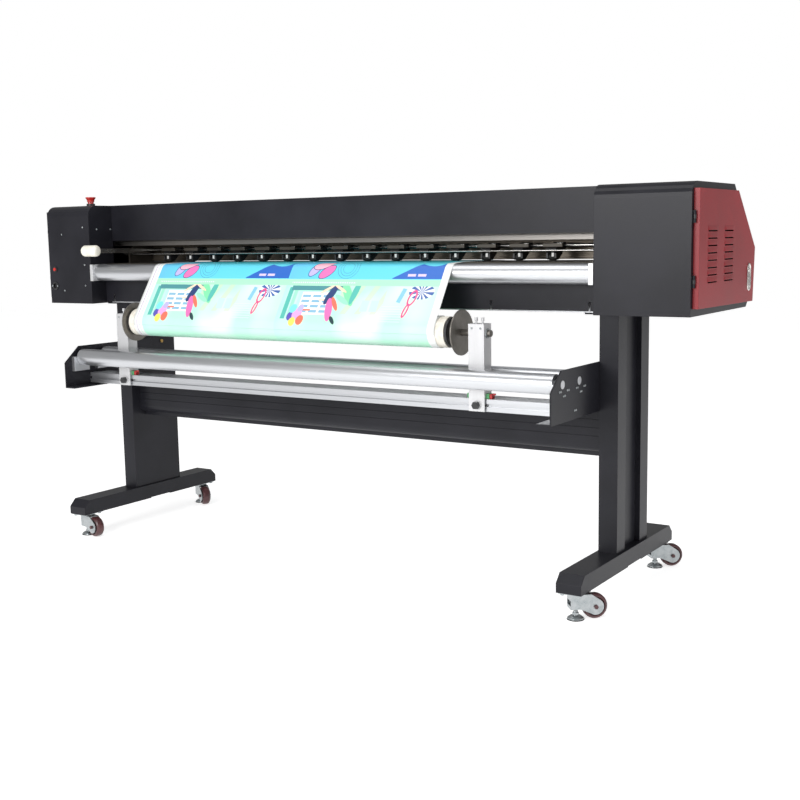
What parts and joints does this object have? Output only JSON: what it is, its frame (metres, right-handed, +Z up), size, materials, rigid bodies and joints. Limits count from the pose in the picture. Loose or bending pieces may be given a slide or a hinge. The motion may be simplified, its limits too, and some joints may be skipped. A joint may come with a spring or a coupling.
{
  "type": "wide-format printer cutter",
  "caption": "Wide-format roll-fed printer cutter: long covered beam between two end caps, on a wheeled two-leg stand with a front take-up roll and tension rollers.",
  "frame": {"origin": "on the floor, under the middle of the machine's outer box", "axes": "+X along the machine to the operator's right, +Y to the back, -Y is the operator's side, +Z up"},
  "size_m": [2.6236, 0.8064, 1.289],
  "materials": {
    "black_steel": "satin powder coat",
    "red_steel": "satin powder coat",
    "dark_bracket": "satin",
    "anodised": "satin anodised",
    "post_metal": "satin",
    "bright_steel": "ground",
    "zinc": "zinc plated",
    "maroon_tyre": "matte",
    "black_plastic": "fine grain",
    "head_metal": "brushed",
    "cutter_blue": "satin",
    "black_rubber": "matte",
    "ivory_plastic": "satin",
    "board_box": "satin",
    "chrome_latch": "polished",
    "red_button": "gloss",
    "chuck_brown": "satin",
    "cardboard": "matte",
    "printed_film": "semi-gloss printed"
  },
  "bodies": {
    "frame": {"feet": "black_steel", "legs": "black_steel", "cross_beam": "black_steel", "caster_plates": "zinc", "chassis_beam": "anodised", "frame_plates": "dark_bracket", "apron": "black_steel", "platen": "dark_bracket", "guide_tube": "anodised", "tube_blocks": "post_metal", "top_beam": "anodised", "top_cover": "black_steel", "guide_rail": "bright_steel", "carriage_belt": "black_rubber", "drive_motors": "black_plastic", "electronics": "board_box", "left_cap": "black_steel", "right_cap": "black_steel", "panel_fittings": "black_plastic", "takeup_plates": "black_steel", "takeup_rail": "anodised", "roller_saddles": "anodised", "media_sheet": "printed_film"},
    "fork_fl": {"fork_fl": "zinc"},
    "wheel_fl": {"wheel_fl": "maroon_tyre"},
    "pad_fl": {"pad_fl": "zinc"},
    "fork_fr": {"fork_fr": "zinc"},
    "wheel_fr": {"wheel_fr": "maroon_tyre"},
    "pad_fr": {"pad_fr": "zinc"},
    "fork_rl": {"fork_rl": "zinc"},
    "wheel_rl": {"wheel_rl": "maroon_tyre"},
    "pad_rl": {"pad_rl": "zinc"},
    "fork_rr": {"fork_rr": "zinc"},
    "wheel_rr": {"wheel_rr": "maroon_tyre"},
    "pad_rr": {"pad_rr": "zinc"},
    "carriage": {"carriage": "black_plastic", "print_heads": "head_metal"},
    "cutter": {"cutter": "cutter_blue"},
    "drive_pulley": {"drive_pulley": "bright_steel"},
    "feed_roller": {"feed_roller": "bright_steel"},
    "pinch_lift": {"pinch_arms": "black_plastic", "lift_shaft": "bright_steel", "lever_grip": "ivory_plastic"},
    "pinch_rollers": {"pinch_rollers": "black_rubber"},
    "capping_station": {"capping_station": "black_plastic"},
    "left_door": {"left_door": "black_steel"},
    "right_door": {"right_door": "red_steel"},
    "right_latch": {"right_latch": "chrome_latch"},
    "estop_button": {"estop_button": "red_button"},
    "power_button": {"power_button": "red_button"},
    "front_roller": {"front_roller": "anodised"},
    "rear_roller": {"rear_roller": "anodised"},
    "post_left": {"post_left": "post_metal"},
    "knob_left": {"knob_left": "black_plastic"},
    "chuck_left": {"chuck_left": "chuck_brown"},
    "post_right": {"post_right": "post_metal"},
    "knob_right": {"knob_right": "black_plastic"},
    "chuck_right": {"chuck_right": "chuck_brown"},
    "roll": {"media_core": "cardboard", "media_roll": "printed_film"}
  },
  "joints": [
    {"name": "swivel_fl", "type": "hinge", "parent": "frame", "child": "fork_fl", "pos_m": [-1.05425, -0.30318, 0.07], "axis": [0, 0, 1], "continuous": true},
    {"name": "wheel_fl_spin", "type": "hinge", "parent": "fork_fl", "child": "wheel_fl", "pos_m": [-0.99947, -0.31483, 0.039], "axis": [0.2079, 0.9781, 0], "continuous": true},
    {"name": "pad_fl_screw", "type": "slide", "parent": "fork_fl", "child": "pad_fl", "axis": [0, 0, 1], "range_m": [0, 0.012]},
    {"name": "swivel_fr", "type": "hinge", "parent": "frame", "child": "fork_fr", "pos_m": [0.99175, -0.30318, 0.07], "axis": [0, 0, 1], "continuous": true},
    {"name": "wheel_fr_spin", "type": "hinge", "parent": "fork_fr", "child": "wheel_fr", "pos_m": [1.03337, -0.26571, 0.039], "axis": [-0.6691, 0.7431, 0], "continuous": true},
    {"name": "pad_fr_screw", "type": "slide", "parent": "fork_fr", "child": "pad_fr", "axis": [0, 0, 1], "range_m": [0, 0.012]},
    {"name": "swivel_rl", "type": "hinge", "parent": "frame", "child": "fork_rl", "pos_m": [-1.05425, 0.33282, 0.07], "axis": [0, 0, 1], "continuous": true},
    {"name": "wheel_rl_spin", "type": "hinge", "parent": "fork_rl", "child": "wheel_rl", "pos_m": [-1.00676, 0.30314, 0.039], "axis": [0.5299, 0.848, 0], "continuous": true},
    {"name": "pad_rl_screw", "type": "slide", "parent": "fork_rl", "child": "pad_rl", "axis": [0, 0, 1], "range_m": [0, 0.012]},
    {"name": "swivel_rr", "type": "hinge", "parent": "frame", "child": "fork_rr", "pos_m": [0.99175, 0.33282, 0.07], "axis": [0, 0, 1], "continuous": true},
    {"name": "wheel_rr_spin", "type": "hinge", "parent": "fork_rr", "child": "wheel_rr", "pos_m": [1.03337, 0.37029, 0.039], "axis": [-0.6691, 0.7431, 0], "continuous": true},
    {"name": "pad_rr_screw", "type": "slide", "parent": "fork_rr", "child": "pad_rr", "axis": [0, 0, 1], "range_m": [0, 0.012]},
    {"name": "carriage_slide", "type": "slide", "parent": "frame", "child": "carriage", "axis": [1, 0, 0], "range_m": [-2.045, 0]},
    {"name": "drive_pulley_spin", "type": "hinge", "parent": "frame", "child": "drive_pulley", "pos_m": [1.24625, -0.03318, 1.205], "axis": [0, 1, 0], "continuous": true},
    {"name": "cutter_slide", "type": "slide", "parent": "carriage", "child": "cutter", "axis": [0, 0, 1], "range_m": [-0.0015, 0], "stiffness_N_per_m": 2000, "springref_m": 0.002},
    {"name": "feed_roller_spin", "type": "hinge", "parent": "frame", "child": "feed_roller", "pos_m": [-0.03125, -0.01518, 1.0224], "axis": [1, 0, 0], "continuous": true},
    {"name": "pinch_lift_tilt", "type": "hinge", "parent": "frame", "child": "pinch_lift", "pos_m": [-0.03125, 0.03482, 1.082], "axis": [-1, 0, 0], "range_deg": [0, 7]},
    {"name": "pinch_rollers_spin", "type": "hinge", "parent": "pinch_lift", "child": "pinch_rollers", "pos_m": [-0.03125, -0.01518, 1.0466], "axis": [1, 0, 0], "continuous": true},
    {"name": "capping_lift", "type": "slide", "parent": "frame", "child": "capping_station", "axis": [0, 0, 1], "range_m": [-0.012, 0]},
    {"name": "left_door_hinge", "type": "hinge", "parent": "frame", "child": "left_door", "pos_m": [-1.29975, -0.20418, 1.068], "axis": [0, 0, 1], "range_deg": [0, 110]},
    {"name": "right_door_hinge", "type": "hinge", "parent": "frame", "child": "right_door", "pos_m": [1.29625, -0.20418, 1.068], "axis": [0, 0, -1], "range_deg": [0, 110]},
    {"name": "right_latch_turn", "type": "hinge", "parent": "right_door", "child": "right_latch", "pos_m": [1.30975, 0.25482, 0.977], "axis": [1, 0, 0], "range_deg": [0, 90]},
    {"name": "estop_press", "type": "slide", "parent": "frame", "child": "estop_button", "axis": [0, 0, -1], "range_m": [0, 0.005], "stiffness_N_per_m": 1500, "springref_m": -0.004},
    {"name": "power_press", "type": "slide", "parent": "frame", "child": "power_button", "axis": [0, 1, 0], "range_m": [0, 0.002], "stiffness_N_per_m": 800, "springref_m": -0.002},
    {"name": "front_roller_spin", "type": "hinge", "parent": "frame", "child": "front_roller", "pos_m": [-0.03125, -0.32918, 0.692], "axis": [1, 0, 0], "continuous": true},
    {"name": "rear_roller_spin", "type": "hinge", "parent": "frame", "child": "rear_roller", "pos_m": [-0.03125, -0.21518, 0.692], "axis": [1, 0, 0], "continuous": true},
    {"name": "post_left_slide", "type": "slide", "parent": "frame", "child": "post_left", "axis": [1, 0, 0], "range_m": [-0.1, 0]},
    {"name": "knob_left_turn", "type": "hinge", "parent": "post_left", "child": "knob_left", "pos_m": [-0.82825, -0.29318, 0.61], "axis": [0, 1, 0], "continuous": true},
    {"name": "chuck_left_spin", "type": "hinge", "parent": "post_left", "child": "chuck_left", "pos_m": [-0.82825, -0.27068, 0.826], "axis": [1, 0, 0], "continuous": true},
    {"name": "post_right_slide", "type": "slide", "parent": "frame", "child": "post_right", "axis": [1, 0, 0], "range_m": [0, 0.15]},
    {"name": "knob_right_turn", "type": "hinge", "parent": "post_right", "child": "knob_right", "pos_m": [0.66075, -0.29318, 0.61], "axis": [0, 1, 0], "continuous": true},
    {"name": "chuck_right_spin", "type": "hinge", "parent": "post_right", "child": "chuck_right", "pos_m": [0.66075, -0.27068, 0.826], "axis": [1, 0, 0], "continuous": true},
    {"name": "roll_spin", "type": "hinge", "parent": "frame", "child": "roll", "pos_m": [-0.03125, -0.27068, 0.826], "axis": [1, 0, 0], "continuous": true}
  ],
  "couplings": [
    {"joint": "drive_pulley_spin", "follows": "carriage_slide", "rad_per_m": -71.429},
    {"joint": "pinch_rollers_spin", "follows": "feed_roller_spin", "ratio": -1.0909},
    {"joint": "chuck_left_spin", "follows": "roll_spin", "ratio": 1},
    {"joint": "chuck_right_spin", "follows": "roll_spin", "ratio": 1}
  ]
}
